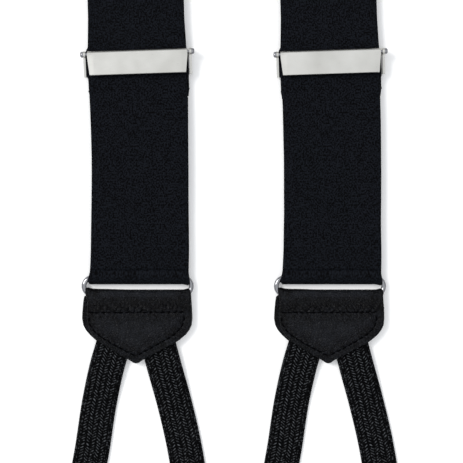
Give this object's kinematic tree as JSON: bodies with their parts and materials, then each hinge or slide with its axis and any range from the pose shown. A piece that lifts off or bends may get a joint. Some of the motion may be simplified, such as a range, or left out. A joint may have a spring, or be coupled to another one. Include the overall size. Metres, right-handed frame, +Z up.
{
  "type": "suspenders",
  "caption": "Button-on dress suspenders laid flat: webbing straps, sliding lever adjusters, wire rings, leather ends and braided button tabs.",
  "frame": {"origin": "on the surface that the suspenders lie on, at the middle of their length and width", "axes": "+X across the straps, +Y from the front button tabs up to the back patch, +Z up from the surface"},
  "size_m": [0.1374, 1.07, 0.0069],
  "materials": {
    "webbing": "fine black ribbed webbing, dull satin",
    "leather": "black smooth grained leather, soft sheen",
    "braid": "black herringbone braid",
    "thread": "black sewing thread",
    "silver": "satin nickel",
    "wire": "bright nickel wire"
  },
  "bodies": {
    "harness": {"left_strap": "webbing", "left_front_run": "webbing", "right_strap": "webbing", "right_front_run": "webbing", "back_strap": "webbing", "back_strap_stitching": "thread", "patch_under": "leather", "patch_top": "leather", "patch_stitching": "thread"},
    "left_turn": {"left_webbing_turn": "webbing", "left_rear_run": "webbing"},
    "left_adjuster": {"left_sewn_end": "webbing", "left_end_stitching": "thread", "left_adjuster_frame": "silver", "left_adjuster_pin": "wire"},
    "left_lever": {"left_adjuster_lever": "silver"},
    "left_ring": {"left_ring": "wire"},
    "left_leather_end": {"left_kip": "leather", "left_kip_stitching": "thread", "left_outer_braid": "braid", "left_inner_braid": "braid", "left_loop_tacks": "thread"},
    "right_turn": {"right_webbing_turn": "webbing", "right_rear_run": "webbing"},
    "right_adjuster": {"right_sewn_end": "webbing", "right_end_stitching": "thread", "right_adjuster_frame": "silver", "right_adjuster_pin": "wire"},
    "right_lever": {"right_adjuster_lever": "silver"},
    "right_ring": {"right_ring": "wire"},
    "right_leather_end": {"right_kip": "leather", "right_kip_stitching": "thread", "right_outer_braid": "braid", "right_inner_braid": "braid", "right_loop_tacks": "thread"},
    "back_ring": {"back_ring": "wire"},
    "back_leather_end": {"back_kip": "leather", "back_kip_stitching": "thread", "back_left_braid": "braid", "back_right_braid": "braid", "back_loop_tacks": "thread"}
  },
  "joints": [
    {"name": "left_length", "type": "slide", "parent": "harness", "child": "left_turn", "axis": [-0.034, 0.9994, 0], "range_m": [-0.04, 0.09], "deforming": ["left_front_run"]},
    {"name": "left_adjuster_slide", "type": "slide", "parent": "left_turn", "child": "left_adjuster", "axis": [-0.034, 0.9994, 0], "range_m": [-0.04, 0.09], "deforming": ["left_rear_run"]},
    {"name": "left_lever_hinge", "type": "hinge", "parent": "left_adjuster", "child": "left_lever", "pos_m": [-0.037, -0.30485, 0.00565], "axis": [-0.9994, -0.034, 0], "range_deg": [0, 110]},
    {"name": "left_ring_swing", "type": "hinge", "parent": "left_turn", "child": "left_ring", "pos_m": [-0.0373, -0.39165, 0.00205], "axis": [-1, 0, 0], "range_deg": [-90, 90]},
    {"name": "left_leather_swing", "type": "hinge", "parent": "left_ring", "child": "left_leather_end", "pos_m": [-0.0373, -0.39835, 0.00205], "axis": [-1, 0, 0], "range_deg": [-60, 60]},
    {"name": "right_length", "type": "slide", "parent": "harness", "child": "right_turn", "axis": [-0.034, 0.9994, 0], "range_m": [-0.04, 0.09], "deforming": ["right_front_run"]},
    {"name": "right_adjuster_slide", "type": "slide", "parent": "right_turn", "child": "right_adjuster", "axis": [-0.034, 0.9994, 0], "range_m": [-0.04, 0.09], "deforming": ["right_rear_run"]},
    {"name": "right_lever_hinge", "type": "hinge", "parent": "right_adjuster", "child": "right_lever", "pos_m": [0.0376, -0.30485, 0.00565], "axis": [-0.9994, -0.034, 0], "range_deg": [0, 110]},
    {"name": "right_ring_swing", "type": "hinge", "parent": "right_turn", "child": "right_ring", "pos_m": [0.0373, -0.39165, 0.00205], "axis": [-1, 0, 0], "range_deg": [-90, 90]},
    {"name": "right_leather_swing", "type": "hinge", "parent": "right_ring", "child": "right_leather_end", "pos_m": [0.0373, -0.39835, 0.00205], "axis": [-1, 0, 0], "range_deg": [-60, 60]},
    {"name": "back_ring_swing", "type": "hinge", "parent": "harness", "child": "back_ring", "pos_m": [-0.0065, 0.39165, 0.00205], "axis": [1, 0, 0], "range_deg": [-90, 90]},
    {"name": "back_leather_swing", "type": "hinge", "parent": "back_ring", "child": "back_leather_end", "pos_m": [-0.0065, 0.39835, 0.00205], "axis": [1, 0, 0], "range_deg": [-60, 60]}
  ],
  "couplings": [
    {"joint": "left_adjuster_slide", "follows": "left_length", "ratio": 1},
    {"joint": "right_adjuster_slide", "follows": "right_length", "ratio": 1}
  ]
}
